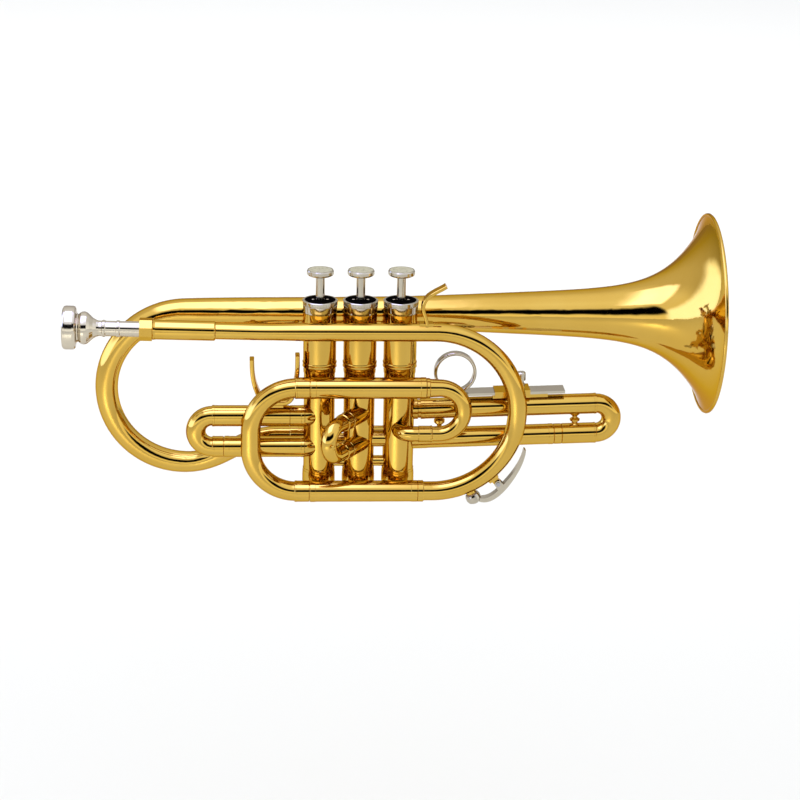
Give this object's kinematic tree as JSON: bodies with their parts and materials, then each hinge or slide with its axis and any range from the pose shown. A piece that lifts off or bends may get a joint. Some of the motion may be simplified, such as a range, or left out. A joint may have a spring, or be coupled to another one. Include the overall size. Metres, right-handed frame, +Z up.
{
  "type": "cornet",
  "caption": "Long-model valve cornet: looped bell, front tuning slide, piston valves with sprung buttons, sliding crooks with thumb saddle and finger ring, water key, mouthpiece.",
  "frame": {"origin": "axis of the middle valve, where a hand holds the valve block", "axes": "+X along the bell towards its mouth, +Z up along the valves through the buttons, +Y from the leadpipe side to the bell side"},
  "size_m": [0.3988, 0.1272, 0.1749],
  "materials": {
    "lacquered_brass": "clear lacquered, mirror polished",
    "nickel_plate": "polished nickel plate",
    "silver_plate": "polished silver plate",
    "piston_nickel": "lapped, satin",
    "spring_steel": "bright drawn wire",
    "pearl": "pearlescent",
    "black_disc": "gloss black",
    "felt": "pressed felt",
    "cork": "matt cork"
  },
  "bodies": {
    "horn": {"valve_casing_1": "lacquered_brass", "valve_casing_2": "lacquered_brass", "valve_casing_3": "lacquered_brass", "top_cap_1": "nickel_plate", "top_cap_2": "nickel_plate", "top_cap_3": "nickel_plate", "bottom_cap_1": "lacquered_brass", "bottom_cap_2": "lacquered_brass", "bottom_cap_3": "lacquered_brass", "cap_discs": "black_disc", "casing_braces": "lacquered_brass", "knuckles": "lacquered_brass", "leadpipe": "lacquered_brass", "receiver": "lacquered_brass", "leadpipe_stays": "lacquered_brass", "sleeve_stays": "lacquered_brass", "bell_stays": "lacquered_brass", "tuning_sleeve_upper": "lacquered_brass", "tuning_sleeve_lower": "lacquered_brass", "crook": "lacquered_brass", "bell": "lacquered_brass", "bell_rim_wire": "lacquered_brass", "bell_tail_ferrule": "lacquered_brass", "first_slide_tubes": "lacquered_brass", "second_slide_tubes": "lacquered_brass", "third_slide_tubes": "lacquered_brass", "finger_hook": "lacquered_brass", "water_key_mount": "lacquered_brass", "water_key_pin": "spring_steel", "spring_1": "spring_steel", "spring_2": "spring_steel", "spring_3": "spring_steel"},
    "valve_1": {"piston_1": "piston_nickel", "stem_1": "nickel_plate", "button_1": "nickel_plate", "pearl_1": "pearl", "felt_1": "felt"},
    "valve_2": {"piston_2": "piston_nickel", "stem_2": "nickel_plate", "button_2": "nickel_plate", "pearl_2": "pearl", "felt_2": "felt"},
    "valve_3": {"piston_3": "piston_nickel", "stem_3": "nickel_plate", "button_3": "nickel_plate", "pearl_3": "pearl", "felt_3": "felt"},
    "main_slide": {"tuning_slide": "lacquered_brass"},
    "slide_1": {"first_slide": "lacquered_brass", "thumb_saddle": "lacquered_brass"},
    "slide_2": {"second_slide": "lacquered_brass", "second_slide_knob": "lacquered_brass"},
    "slide_3": {"third_slide": "lacquered_brass", "third_slide_stay": "lacquered_brass", "ring_clamp": "lacquered_brass"},
    "ring": {"finger_ring": "nickel_plate"},
    "lock_screw": {"ring_lock_screw": "nickel_plate"},
    "water_key": {"water_key_lever": "nickel_plate", "water_key_cork": "cork"},
    "mouthpiece": {"mouthpiece": "silver_plate"}
  },
  "joints": [
    {"name": "press_valve_1", "type": "slide", "parent": "horn", "child": "valve_1", "axis": [0, 0, -1], "range_m": [0, 0.015], "stiffness_N_per_m": 150, "springref_m": -0.016, "deforming": ["spring_1"]},
    {"name": "press_valve_2", "type": "slide", "parent": "horn", "child": "valve_2", "axis": [0, 0, -1], "range_m": [0, 0.015], "stiffness_N_per_m": 150, "springref_m": -0.016, "deforming": ["spring_2"]},
    {"name": "press_valve_3", "type": "slide", "parent": "horn", "child": "valve_3", "axis": [0, 0, -1], "range_m": [0, 0.015], "stiffness_N_per_m": 150, "springref_m": -0.016, "deforming": ["spring_3"]},
    {"name": "pull_main_slide", "type": "slide", "parent": "horn", "child": "main_slide", "axis": [-1, 0, 0], "range_m": [0, 0.025]},
    {"name": "pull_slide_1", "type": "slide", "parent": "horn", "child": "slide_1", "axis": [-1, 0, 0], "range_m": [0, 0.02]},
    {"name": "pull_slide_2", "type": "slide", "parent": "horn", "child": "slide_2", "axis": [-0.56, -0.8285, 0], "range_m": [0, 0.009]},
    {"name": "pull_slide_3", "type": "slide", "parent": "horn", "child": "slide_3", "axis": [0.9995, 0, 0.0323], "range_m": [0, 0.025]},
    {"name": "shift_ring", "type": "slide", "parent": "slide_3", "child": "ring", "axis": [0.9995, 0, 0.0323], "range_m": [-0.008, 0.008]},
    {"name": "turn_lock_screw", "type": "hinge", "parent": "slide_3", "child": "lock_screw", "pos_m": [0.10093, 0.002, 0.00564], "axis": [-0.0323, 0, 0.9995], "range_deg": [0, 180]},
    {"name": "press_water_key", "type": "hinge", "parent": "horn", "child": "water_key", "pos_m": [0.08615, -0.018, -0.04824], "axis": [0, -1, 0], "range_deg": [0, 7], "stiffness_Nm_per_rad": 0.02, "springref_deg": -8.59},
    {"name": "pull_mouthpiece", "type": "slide", "parent": "horn", "child": "mouthpiece", "axis": [-0.9997, 0, 0.0229], "range_m": [0, 0.022]}
  ]
}
